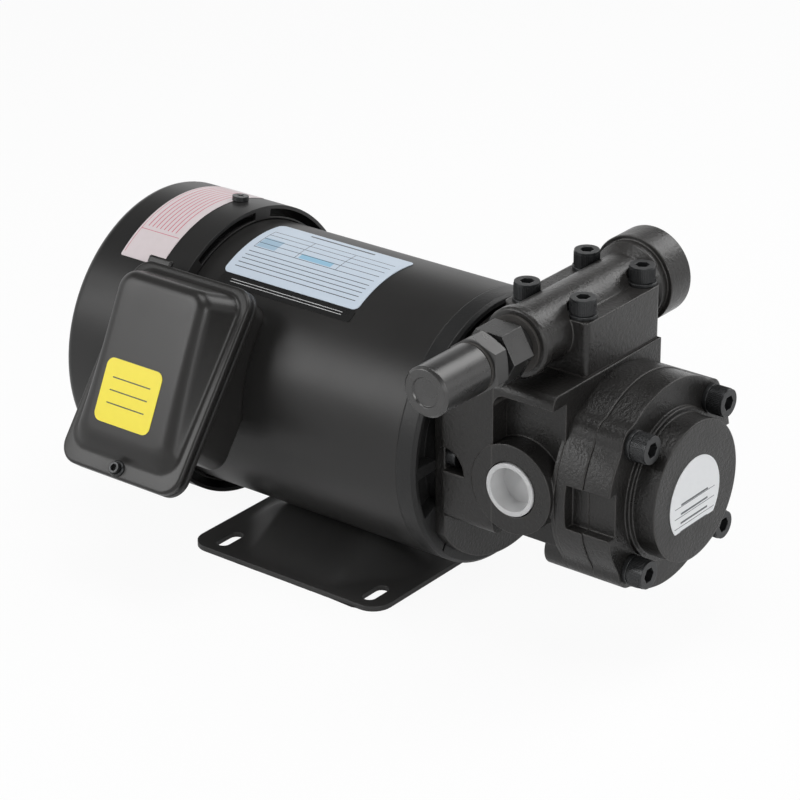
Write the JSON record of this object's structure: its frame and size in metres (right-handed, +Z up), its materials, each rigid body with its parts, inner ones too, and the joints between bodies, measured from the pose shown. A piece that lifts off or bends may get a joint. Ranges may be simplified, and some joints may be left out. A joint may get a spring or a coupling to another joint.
{
  "type": "trochoid pump with motor",
  "caption": "Foot-mounted electric motor with a flange-mounted trochoid oil pump, a side terminal box, a rear fan cover and an adjustable relief valve across the top.",
  "frame": {"origin": "on the floor, centre of the foot's slot pattern", "axes": "+Z up, shaft along Y with the pump at -Y and the fan at +Y, terminal box and valve adjuster at -X, outlet port at +X"},
  "size_m": [0.194, 0.3144, 0.171],
  "materials": {
    "motor_paint": "satin black paint",
    "bracket_paint": "satin black paint",
    "cover_paint": "satin black paint",
    "box_paint": "satin black paint",
    "foot_paint": "satin black paint",
    "pump_iron": "black cast iron",
    "valve_iron": "black cast iron",
    "black_steel": "black oxide",
    "black_screw": "black oxide",
    "bright_steel": "ground",
    "core_steel": "stamped sheets",
    "sintered_steel": "sintered and ground",
    "copper_wire": "varnished copper",
    "cast_aluminium": "cast",
    "bush_bronze": "plain bearing bronze",
    "black_rubber": "matt",
    "seal_fibre": "pressed fibre",
    "fan_plastic": "moulded",
    "plug_plastic": "moulded, milky",
    "block_plastic": "moulded",
    "contact_brass": "plain"
  },
  "bodies": {
    "housing": {"motor_frame": "motor_paint", "mounting_foot": "foot_paint", "front_bracket": "bracket_paint", "rear_bracket": "bracket_paint", "tie_rods": "bright_steel", "stator_core": "core_steel", "winding_front": "copper_wire", "winding_rear": "copper_wire", "front_bearing_outer_ring": "bright_steel", "rear_bearing_outer_ring": "bright_steel", "preload_washer": "bright_steel", "fan_cover": "cover_paint", "fan_cover_screws": "black_screw", "terminal_box_base": "box_paint", "terminal_box_gasket": "black_rubber", "terminal_box_cover": "box_paint", "terminal_cover_screw": "black_screw", "terminal_block": "block_plastic", "terminal_studs": "contact_brass", "pump_bracket": "pump_iron", "pump_body": "pump_iron", "body_bush": "bush_bronze", "casing_bush": "bush_bronze", "shaft_seal": "black_rubber", "rotor_housing": "pump_iron", "pump_casing": "pump_iron", "casing_o_ring": "black_rubber", "casing_screws": "black_screw", "casing_screw_washers": "black_screw", "pump_mounting_screws": "black_screw", "valve_body": "valve_iron", "valve_gasket": "seal_fibre", "valve_screws": "black_screw", "valve_screw_washers": "black_screw", "relief_spring": "bright_steel", "hex_plug": "black_steel", "lock_nut": "black_steel", "cap_nut": "black_steel", "plug_seal_washer": "seal_fibre", "cap_seal_washer": "seal_fibre"},
    "shaft": {"motor_shaft": "bright_steel", "rotor_core": "core_steel", "rotor_end_rings": "cast_aluminium", "cooling_fan": "fan_plastic", "fan_retaining_ring": "bright_steel", "front_bearing_inner_ring": "bright_steel", "rear_bearing_inner_ring": "bright_steel", "pump_shaft": "bright_steel", "drive_key": "bright_steel", "inner_rotor": "sintered_steel"},
    "outer_rotor": {"outer_rotor": "sintered_steel"},
    "front_balls": {"front_bearing_balls": "bright_steel"},
    "rear_balls": {"rear_bearing_balls": "bright_steel"},
    "poppet": {"relief_poppet": "bright_steel"},
    "seat": {"spring_seat": "bright_steel"},
    "screw": {"adjusting_screw": "bright_steel"},
    "port_plug": {"suction_port_plug": "plug_plastic"}
  },
  "joints": [
    {"name": "shaft_spin", "type": "hinge", "parent": "housing", "child": "shaft", "pos_m": [0, 0, 0.08], "axis": [0, 1, 0], "continuous": true},
    {"name": "outer_rotor_spin", "type": "hinge", "parent": "housing", "child": "outer_rotor", "pos_m": [0, 0, 0.0824], "axis": [0, 1, 0], "continuous": true},
    {"name": "front_balls_spin", "type": "hinge", "parent": "housing", "child": "front_balls", "pos_m": [0, 0, 0.08], "axis": [0, 1, 0], "continuous": true},
    {"name": "rear_balls_spin", "type": "hinge", "parent": "housing", "child": "rear_balls", "pos_m": [0, 0, 0.08], "axis": [0, 1, 0], "continuous": true},
    {"name": "poppet_slide", "type": "slide", "parent": "housing", "child": "poppet", "axis": [-1, 0, 0], "range_m": [0, 0.005], "stiffness_N_per_m": 4000, "springref_m": -0.004, "deforming": ["relief_spring"]},
    {"name": "seat_slide", "type": "slide", "parent": "housing", "child": "seat", "axis": [1, 0, 0], "range_m": [-0.0024, 0.0024], "deforming": ["relief_spring"]},
    {"name": "screw_turn", "type": "hinge", "parent": "seat", "child": "screw", "pos_m": [-0.07, -0.1235, 0.15], "axis": [1, 0, 0], "range_deg": [-576, 576]},
    {"name": "plug_pull", "type": "slide", "parent": "housing", "child": "port_plug", "axis": [-1, 0, 0], "range_m": [0, 0.03]}
  ],
  "couplings": [
    {"joint": "outer_rotor_spin", "follows": "shaft_spin", "ratio": 0.85714},
    {"joint": "front_balls_spin", "follows": "shaft_spin", "ratio": 0.38209},
    {"joint": "rear_balls_spin", "follows": "shaft_spin", "ratio": 0.382},
    {"joint": "screw_turn", "follows": "seat_slide", "rad_per_m": 4188.8}
  ]
}
